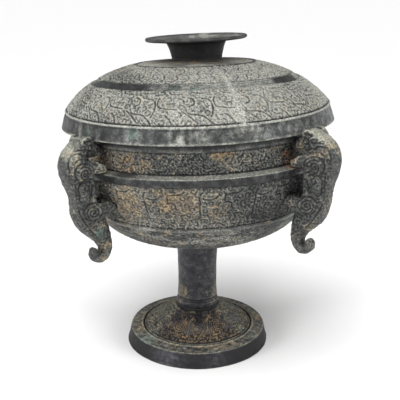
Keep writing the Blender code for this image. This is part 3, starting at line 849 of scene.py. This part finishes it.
def crown_tipped(p):
    """The crown turned a little further than the lid, eased in over the lower third of its height.

    The dome is also warped: its front stands up to 1.5 degrees higher than its back, eased in
    between the rim and the groove and out again up the crown, and it sits a little to the left.
    Its top swells up to the crown, and the rim's lower edge sags by two millimetres at both sides.
    """
    over = np.clip((p[:, 2] - CROWN_Z) / (0.3 * CROWN_H), 0, 1) * CROWN_LEAN
    height = p[:, 2] - CROWN_Z
    x, z = p[:, 0] - height * np.sin(over), p[:, 2] + p[:, 0] * np.sin(over)
    share = smooth(p[:, 2], RIDGE_Z - 0.002, GROOVE_Z)
    back = math.tan(math.radians(1.5)) * share * (1 - 0.6 * smooth(p[:, 2], CROWN_Z, brim_z))
    out = np.hypot(p[:, 0], p[:, 1])
    on_crown = smooth(p[:, 2], CROWN_Z + 0.002, CROWN_Z + 0.010)
    z = z - p[:, 1] * back + (1 - on_crown) * 0.0020 * (1 - smooth(out, 0.012, 0.062)) + on_crown * 0.0002
    side = bell(np.abs(bearing(p)), 90, 28) * smooth(out, LID_R - WALL - 0.0009, LID_R - WALL - 0.0002)
    z = z - 0.0022 * side * smooth(RIDGE_Z - 0.0016 - p[:, 2], 0, 0.009)
    right = smooth(p[:, 2], CROWN_Z - 0.0015, CROWN_Z + 0.001) * (out < 0.046)
    return np.stack([x - 0.0007 * share * (1 - right) + 0.0010 * right, p[:, 1], z], 1)


def lid_patina(p, ink, part):
    """Pale dust all over the bands and the dome's top, a dark crown and rim, green in the groove, painted
    shade on the crown's neck, under its brim and round its foot, and a painted highlight along the rim's
    lower edge.
    """
    turn = bearing(p)
    blot = blots(p, 0.040, 6)
    stain = blots(p, 0.014, 61, 1.5)
    streak = blots(p * (1, 1, 0.45), 0.007, 62, 1.6)
    brim, crown_neck, top, ring_line, upper, groove, wide, rim = (part == k for k in range(1, 9))
    bands, crown = upper | wide, part <= 2
    # The crown's neck and the lower brim are darkened: dark patina with painted shade under the brim.
    neck = crown_neck | (brim & (p[:, 2] < brim_z - 0.0020))
    dark = patch(p, -46, 0.217, 24, 1.0) ** 0.5 + patch(p, 58, 0.217, 12, 1.0) + patch(p, 160, 0.217, 40, 1.0)
    pale = 1 - smooth(dark + 0.30 * (stain - 0.5), 0.20, 0.80)
    grey = patch(p, -6, 0.217, 17, 1.0) * (0.45 + 0.55 * stain)
    seam = 0.9 * patch(p, 18, 0.206, 1.6, 0.012)
    ridge = rim * smooth(p[:, 2], RIDGE_Z - 0.0005, RIDGE_Z + 0.0002)
    # A thin painted highlight line along the rim's lower edge, which also keeps the dark off it.
    lower_edge_highlight = rim * bell(p[:, 2], EDGE_Z + 0.0006, 0.0006) * (0.4 + 0.6 * stain)
    left = smooth(-turn, 12, 45) * (1 - smooth(-turn, 90, 150))
    out = np.hypot(p[:, 0], p[:, 1])
    brim_top = brim & (p[:, 2] > brim_z - 0.0018) & (out < CROWN_R - 0.0010)
    # lip is the brim's edge and underside, darkened as dark patina and painted shade.
    lip = brim & ~brim_top
    crust = bell(p[:, 0], 0.004, 0.013) + 0.8 * bell(p[:, 0], 0.031, 0.006)
    # The dome's top round the crown's foot is darkened: painted shadow of the crown's brim, with earth.
    near_crown = top * (1 - smooth(out, 0.022, 0.034))
    rim_ink = (0.45 * stain + 0.42 * left + 0.30 * patch(p, -35, 0.192, 6, 0.01)
               + 0.35 * patch(p, -14, 0.190, 6, 0.006))
    return {
        "ink": np.clip(ink + groove * (0.84 * (1 - pale) + 0.22 * grey)
                       + rim * rim_ink * (1 - ridge) * (1 - lower_edge_highlight) + neck
                       + crown * (0.10 + 0.25 * stain) + 0.45 * lip + 0.60 * near_crown
                       + 0.8 * ring_line, 0, 1),
        "bare": rim * (1 - ridge) * (1 - 0.65 * left) + neck * 0.25 + groove * (1 - pale) * 0.6,
        "dust": bands * (0.66 + 0.26 * blot - 0.19 * left) + top * (0.42 + 0.36 * blot)
            + groove * (0.10 + (0.46 - 0.12 * grey) * pale)
        + rim * (0.10 + 0.50 * streak * blot + 0.22 * patch(p, 2, 0.192, 24, 0.02))
        + 0.8 * ridge + 0.7 * lower_edge_highlight
        + brim_top * (0.06 + 0.22 * stain + 0.65 * crust * (0.35 + 0.65 * stain)) + seam,
        "earth": top * (0.25 + 0.3 * stain) + 0.5 * near_crown + bands * (0.08 + 0.20 * stain),
        "green": 0.9 * patch(p, -24, 0.193, 3.0, 0.006) + 0.8 * patch(p, -47, 0.190, 3.0, 0.006)
            + 0.8 * patch(p, -54, 0.218, 6, 0.003)
        + 0.5 * patch(p, 37, 0.213, 4, 0.006) + 0.35 * patch(p, 24, 0.192, 9, 0.004)
        + 0.35 * patch(p, -120, 0.2, 20, 0.02) + 0.4 * rim * stain + 0.45 * groove * pale * stain
        + 0.5 * groove * grey,
        "rust": 0.5 * patch(p, 43, 0.214, 3, 0.004),
    }


lid = turned_wall("lid_wall", lid_bands, lid_patina, crown_tipped)
lid.data.materials.append(bronze("dusty_bronze_lid", (0.034, 0.037, 0.038), (0.105, 0.110, 0.104),
                                 (0.335, 0.338, 0.300), 0.36))
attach(lid, "root")
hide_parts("lid")

# Handles. Four climbing beasts, cast and joined to the bowl, each with a turned head and a rolled
# horn over the lid's rim, paws on the cordon, spiral shoulder and thigh, and a curled tail.


def limb(stations, around=18):
    """A closed tube through stations of reach, side offset, height, half depth and half width.

    The line through the stations is a smooth cubic. Each section is a squared oval: the half depth
    lies in the upright plane square to the line, the half width across that plane.
    """
    s = flowing(np.array(stations) / 1000, 6)
    s = s[np.r_[True, np.linalg.norm(np.diff(s[:, :3], axis=0), axis=1) > 1e-7]]
    way = np.gradient(s[:, :3], axis=0)
    way /= np.linalg.norm(way, axis=1)[:, None]
    up = np.cross(way, (0.0, 1.0, 0.0))
    up /= np.linalg.norm(up, axis=1)[:, None]
    wide = np.cross(up, way)
    angle = 2 * np.pi * (np.arange(around) + 0.5) / around
    high = np.sign(np.cos(angle)) * np.abs(np.cos(angle)) ** 0.8
    out = np.sign(np.sin(angle)) * np.abs(np.sin(angle)) ** 0.8
    skin = (s[:, None, :3] + up[:, None] * s[:, None, 3:4] * high[:, None]
            + wide[:, None] * s[:, None, 4:5] * out[:, None])
    n = len(s)
    points = np.concatenate([skin.reshape(-1, 3), s[:1, :3], s[-1:, :3]])
    i, k = np.meshgrid(np.arange(n - 1), np.arange(around), indexing="ij")
    i, k = i.ravel(), k.ravel()
    nxt = (k + 1) % around
    quads = np.stack([i * around + k, i * around + nxt, (i + 1) * around + nxt, (i + 1) * around + k], 1)
    k = np.arange(around)
    first = np.stack([np.full(around, n * around), (k + 1) % around, k], 1)
    last = np.stack([np.full(around, n * around + 1), (n - 1) * around + k,
                     (n - 1) * around + (k + 1) % around], 1)
    return points, quads.tolist() + first.tolist() + last.tolist()


def lump(centre, radii, turn=0.0, around=20):
    """A closed ellipsoid, turned in the upright plane by an angle in degrees.

    Its rings lie round the side axis: cos(rise) wide, at sin(rise) along it, times the radii.
    """
    centre, radii, turn = np.array(centre) / 1000, np.array(radii) / 1000, math.radians(turn)
    rise = np.radians(np.linspace(-90, 90, around // 2 + 1))[:, None]
    angle = 2 * np.pi * np.arange(around) / around
    x = np.cos(rise) * np.cos(angle) * radii[0]
    z = np.cos(rise) * np.sin(angle) * radii[2]
    y = np.sin(rise) * np.ones(around) * radii[1]
    grid = np.stack([x * math.cos(turn) - z * math.sin(turn), y, x * math.sin(turn) + z * math.cos(turn)], 2)
    points = grid.reshape(-1, 3) + centre
    n = len(rise)
    i, k = np.meshgrid(np.arange(n - 1), np.arange(around), indexing="ij")
    i, k = i.ravel(), k.ravel()
    nxt = (k + 1) % around
    quads = np.stack([i * around + k, (i + 1) * around + k, (i + 1) * around + nxt, i * around + nxt], 1)
    return points, quads.tolist()


beast_parts = [limb([
    (95.5, 0, 177.9, 3.4, 4.6), (103.1, 0, 180.1, 5.4, 7.0), (111.6, 0, 182.0, 7.4, 8.0),
    (116.4, 0, 178.6, 8.8, 9.0),
    (119.4, 0, 174.2, 9.4, 9.3), (119.8, 0, 169.4, 9.6, 9.3), (118.4, 0, 161.8, 9.0, 9.0),
    (115.6, 0, 151.6, 8.2, 8.4),
    (113.4, 0, 141.5, 10.2, 8.8), (111.0, 0, 134.0, 11.0, 8.8), (106.4, 0, 126.6, 10.0, 8.0),
    (102.2, 0, 119.9, 8.0, 7.0),
    (99.6, 0, 114.4, 6.5, 6.0), (98.2, 0, 109.4, 5.5, 5.3), (98.4, 0, 105.4, 4.9, 4.9),
    (100.2, 0, 102.3, 4.4, 4.7),
    (103.3, 0, 101.0, 4.1, 4.5), (106.6, 0, 102.0, 3.8, 4.3), (108.5, 0, 104.6, 3.4, 4.1),
    (108.2, 0, 107.2, 2.8, 3.7),
    (106.6, 0, 108.4, 2.0, 3.1)]),
    lump((111.0, 0, 184.4), (6.8, 8.0, 6.6))]
for side in (-1, 1):
    beast_parts += [
        limb([(114.6, side * 5.6, 182.6, 1.5, 1.9), (114.8, side * 6.4, 186.0, 1.5, 1.9),
              (113.4, side * 7.0, 188.8, 1.5, 1.8),
              (111.0, side * 7.4, 190.0, 1.4, 1.7), (108.4, side * 7.5, 189.0, 1.3, 1.6),
              (107.0, side * 7.2, 186.4, 1.1, 1.4)], 12),
        lump((111.6, side * 7.0, 185.4), (3.4, 2.4, 3.0), -20),
        lump((109.3, side * 6.3, 183.2), (2.3, 2.0, 2.3)),
        lump((117.6, side * 7.0, 168.0), (7.0, 4.2, 8.6), 14),
        limb([(114.0, side * 8.0, 170.5, 5.0, 3.4), (109.5, side * 9.0, 169.6, 4.2, 3.2),
              (105.0, side * 9.3, 168.4, 3.5, 3.0),
              (100.0, side * 9.0, 166.8, 2.8, 2.7)], 14),
        lump((106.6, side * 9.2, 170.6), (3.0, 2.9, 3.0)),
        limb([(116.4, side * 7.8, 163.0, 4.0, 2.2), (116.4, side * 8.6, 157.6, 5.0, 2.4),
              (117.2, side * 8.4, 152.4, 3.8, 2.2),
              (119.2, side * 7.8, 147.6, 1.2, 1.4)], 14),
        limb([(110.6, side * 7.6, 162.0, 2.6, 2.2), (110.8, side * 8.2, 153.0, 2.0, 2.2),
              (110.6, side * 8.0, 144.5, 2.6, 2.4)], 12),
        lump((112.8, side * 6.4, 139.0), (7.2, 4.6, 8.0), -10),
        limb([(110.8, side * 7.2, 137.5, 7.0, 3.8), (105.2, side * 8.8, 138.4, 5.6, 3.8),
              (99.5, side * 9.4, 139.6, 4.6, 3.5),
              (93.5, side * 9.2, 139.8, 3.6, 3.2)], 14),
    ]


def spiral(x, z, r0, r1, turns, start=0.0):
    """Points of a spiral about (x, z) whose radius runs evenly from r0 to r1 over the turns."""
    t = np.linspace(0, 1, int(24 * turns))
    angle = math.radians(start) + 2 * np.pi * turns * t
    r = r0 + (r1 - r0) * t
    return np.stack([x + r * np.cos(angle), z + r * np.sin(angle)], 1) / 1000


TILE = 0.012
TILE_STEP = 0.00012
side_cuts = [
    spiral(117.4, 167.6, 6.9, 6.6, 1.0), spiral(117.2, 167.0, 5.2, 0.9, 2.0, 60),
    spiral(112.8, 139.0, 6.6, 6.3, 1.0), spiral(112.8, 139.0, 5.0, 0.9, 2.0, -60),
    spiral(109.3, 183.2, 2.2, 2.2, 1.0),
] + [flowing(np.array(line) / 1000) for line in (
    [(127.0, 170.0), (127.2, 175.5), (124.0, 180.6), (118.4, 181.0), (115.0, 178.2)],
    [(123.6, 170.5), (123.6, 174.4), (121.0, 177.0), (117.0, 177.0)],
    [(101.5, 175.0), (106.0, 177.2), (110.5, 177.0), (113.6, 179.0)],
    [(114.6, 188.6), (112.4, 185.8), (111.2, 183.8)],
    [(121.6, 183.0), (118.4, 183.4), (113.4, 182.4)],
    [(112.0, 160.5), (116.4, 162.2), (121.2, 160.2), (121.2, 153.0), (119.6, 147.4), (114.0, 150.6),
     (112.0, 156.0)],
    [(114.4, 158.4), (117.6, 159.4), (118.4, 156.4), (116.2, 155.4)],
    [(124.0, 161.0), (122.6, 153.0), (122.4, 146.0), (120.6, 137.0), (116.4, 128.6), (109.5, 120.0)],
)]
tile = np.arange(0, TILE, TILE_STEP)
fill = commas(TILE, TILE, 0.0027, 0.00105, 31, None)
fill = fill + [line + (0, TILE) for line in fill] + [line - (0, TILE) for line in fill]
tile_gap = reach(*np.meshgrid(tile, tile), fill, TILE)


def filled(x, y):
    """Distance to the nearest small curl, from one square tile of them that repeats both ways."""
    i, j = (np.floor(v / TILE_STEP).astype(int) % len(tile) for v in (x, y))
    return tile_gap[j, i]


back_edges = [np.array([(side, 0.122), (side, 0.186)]) for side in (-0.0063, 0.0063)]
beads = np.stack([np.interp(np.linspace(0, 1, 9), [0, 0.5, 1], [121.6, 122.0, 116.6]),
                  np.linspace(154.0, 131.0, 9)], 1) / 1000


def beast_mesh(name, parts, voxel, rounds):
    """One closed skin round all the parts: their union on a grid of cubes, then smoothed."""
    mesh = bpy.data.meshes.new(name)
    points, faces, first = [], [], 0
    for p, f in parts:
        points.append(p)
        faces += [[v + first for v in face] for face in f]
        first += len(p)
    mesh.from_pydata(np.concatenate(points).tolist(), [], faces)
    obj = in_scene(name, mesh)
    grid = obj.modifiers.new("union", "REMESH")
    grid.mode = "VOXEL"
    grid.voxel_size = voxel
    soft = obj.modifiers.new("soften", "SMOOTH")
    soft.factor = 0.5
    soft.iterations = rounds
    graph = bpy.context.evaluated_depsgraph_get()
    done = bpy.data.meshes.new_from_object(obj.evaluated_get(graph))
    bpy.data.objects.remove(obj)
    bpy.data.meshes.remove(mesh)
    return done


skin = beast_mesh("beast_skin", beast_parts, 0.00058, 3)
shape, facing = points_of(skin)
on_side = smooth(np.abs(facing[:, 1]), 0.35, 0.75)
on_back = smooth(facing[:, 0], 0.45, 0.8) * (1 - on_side)
side_cut = 0.75 * (1 - smooth(reach(shape[:, 0][None], shape[:, 2][None], side_cuts, None)[0], 0.00020,
                              0.00085))
side_small = 1 - smooth(filled(shape[:, 0], shape[:, 2]), 0.00020, 0.00070)
side_small *= smooth(shape[:, 2], 0.104, 0.110)
back_cut = 1 - smooth(reach(shape[:, 1][None], shape[:, 2][None], back_edges, None)[0], 0.00030, 0.00090)
back_small = 1 - smooth(filled(shape[:, 1] * 1.15, shape[:, 2] * 1.1), 0.00020, 0.00075)
back_small *= 1 - smooth(np.abs(shape[:, 1]), 0.0048, 0.0058)
bead_gap = np.sqrt(((shape[:, None, [0, 2]] - beads[None]) ** 2).sum(2).min(1))
bead = 1 - smooth(bead_gap, 0.0003, 0.0011)
beast_ink = np.maximum(on_side * np.maximum(side_cut, 0.6 * side_small * (1 - bead)),
                       on_back * np.maximum(0.7 * back_cut, 0.5 * back_small))
push = (-0.00085 * side_cut * on_side - 0.00045 * side_small * (1 - side_cut) * on_side
        + 0.0006 * bead * on_side
        - 0.0005 * back_cut * on_back - 0.0002 * back_small * on_back)
beast_shape = shape + facing * push[:, None]
beast_bronze = bronze("bronze_beast", (0.030, 0.032, 0.032), (0.100, 0.104, 0.098), (0.30, 0.30, 0.24), 0.36)
for n, at in enumerate((-45, 45, 135, 225)):
    a = math.radians(at)
    rough = beast_shape + facing * (0.00012 * swell(shape, 0.006, 40 + n) - 0.00010)[:, None]
    if n == 1:
        upper_back = smooth(shape[:, 2], 0.130, 0.150) * (1 - smooth(shape[:, 2], 0.186, 0.196))
        rough[:, 0] += 0.0020 * smooth(shape[:, 0], 0.104, 0.120) * upper_back
    rough[:, 2] += (0.0004, 0.0024, 0.0, 0.0012)[n] * (1 - smooth(shape[:, 2], 0.098, 0.138))
    placed = np.stack([rough[:, 0] * math.sin(a) + rough[:, 1] * math.cos(a),
                       -rough[:, 0] * math.cos(a) + rough[:, 1] * math.sin(a),
                       rough[:, 2]], 1)
    mesh = skin.copy()
    mesh.name = f"beast_{n + 1}"
    mesh.vertices.foreach_set("co", leaned(placed).astype(np.float32).ravel())
    mesh.update()
    mesh.shade_smooth()
    high = smooth(shape[:, 2], 0.176, 0.192) * smooth(facing[:, 0] + facing[:, 2], 0.1, 0.9)
    blot = blots(shape, 0.018, 50 + n)
    tail = bell(shape[:, 0], 0.106, 0.006) * bell(shape[:, 2], 0.121, 0.006)
    foot_of_arm = bell(shape[:, 0], 0.102, 0.006) * bell(shape[:, 2], 0.172, 0.007)
    low = smooth(-shape[:, 2], -0.138, -0.112)
    nape = bell(shape[:, 0], 0.1235, 0.0045) * bell(shape[:, 2], 0.179, 0.007)
    marks = {
        "ink": beast_ink,
        "bare": np.full(len(shape), 0.35),
        "dust": 0.34 * blot + (0.35, 0.70, 0.6, 0.7)[n] * high + 0.7 * foot_of_arm
            + (0.8 if n == 0 else 0.2) * nape + 0.15 * low,
        "earth": 0.26 * blot + 0.4 * foot_of_arm + 0.4 * nape + 0.40 * low * blot,
        "green": (0.9 if n == 0 else 0.4) * tail + 0.25 * blot * smooth(-shape[:, 2], -0.15, -0.12),
        "rust": (1.0 if n == 1 else 0.0) * foot_of_arm,
    }
    marked(mesh, marks, 0.08)
    beast = in_scene(f"beast_{n + 1}", mesh)
    mesh.materials.clear()
    mesh.materials.append(beast_bronze)
    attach(beast, "root")
    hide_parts("bowl")
bpy.data.meshes.remove(skin)

# Floor, lamps and camera. A pale floor under soft studio lamps, seen as the photograph sees it.
floor_mesh = bpy.data.meshes.new("studio_floor")
floor_mesh.from_pydata([(-30, -30, 0), (30, -30, 0), (30, 30, 0), (-30, 30, 0)], [], [(0, 1, 2, 3)])
floor = in_scene("studio_floor", floor_mesh)
paper = Shader("pale_floor")
paper.put(paper.surface.inputs["Base Color"], (0.86, 0.86, 0.86))
paper.put(paper.surface.inputs["Roughness"], 0.9)
floor.data.materials.append(paper.material)

world = bpy.data.worlds.new("studio")
world.use_nodes = True
sky = world.node_tree.nodes
brightness = sky.new("ShaderNodeMapRange")
brightness.interpolation_type = "SMOOTHSTEP"
direction = sky.new("ShaderNodeSeparateXYZ")
for socket, value in (("From Min", 0.08), ("From Max", 0.42), ("To Min", 1.0), ("To Max", 0.30)):
    brightness.inputs[socket].default_value = value
world.node_tree.links.new(sky.new("ShaderNodeTexCoord").outputs["Generated"], direction.inputs[0])
world.node_tree.links.new(direction.outputs["Z"], brightness.inputs["Value"])
world.node_tree.links.new(brightness.outputs["Result"], sky["Background"].inputs["Strength"])
sky["Background"].inputs["Color"].default_value = (1.0, 1.0, 1.0, 1)
bpy.context.scene.world = world


def lamp(name, place, size, power):
    """A square soft lamp that points at the bowl."""
    data = bpy.data.lights.new(name, "AREA")
    data.size = size
    data.energy = power
    obj = in_scene(name, data)
    obj.location = place
    obj.rotation_euler = (Vector((0, 0, 0.14)) - Vector(place)).to_track_quat("-Z", "Y").to_euler()


lamp("left", (-1.10, -0.70, 0.55), 0.5, 9)
lamp("right", (1.10, -0.60, 0.55), 0.5, 7)
sun = bpy.data.lights.new("overhead", "SUN")
sun.energy = 2.75
sun.angle = math.radians(50)
overhead = in_scene("overhead", sun)
overhead.rotation_euler = Vector((0.14, 0.34, -1.0)).to_track_quat("-Z", "Y").to_euler()
bpy.context.scene.view_settings.view_transform = "Standard"

camera = bpy.data.cameras.new("photo_camera")
camera.sensor_width = 36
camera.lens = 64.116
eye = in_scene("photo_camera", camera)
eye.location = (0.002247, -0.55, 0.285073)
eye.rotation_euler = (math.pi / 2 - 0.292257, 0, 0)
bpy.context.scene.camera = eye
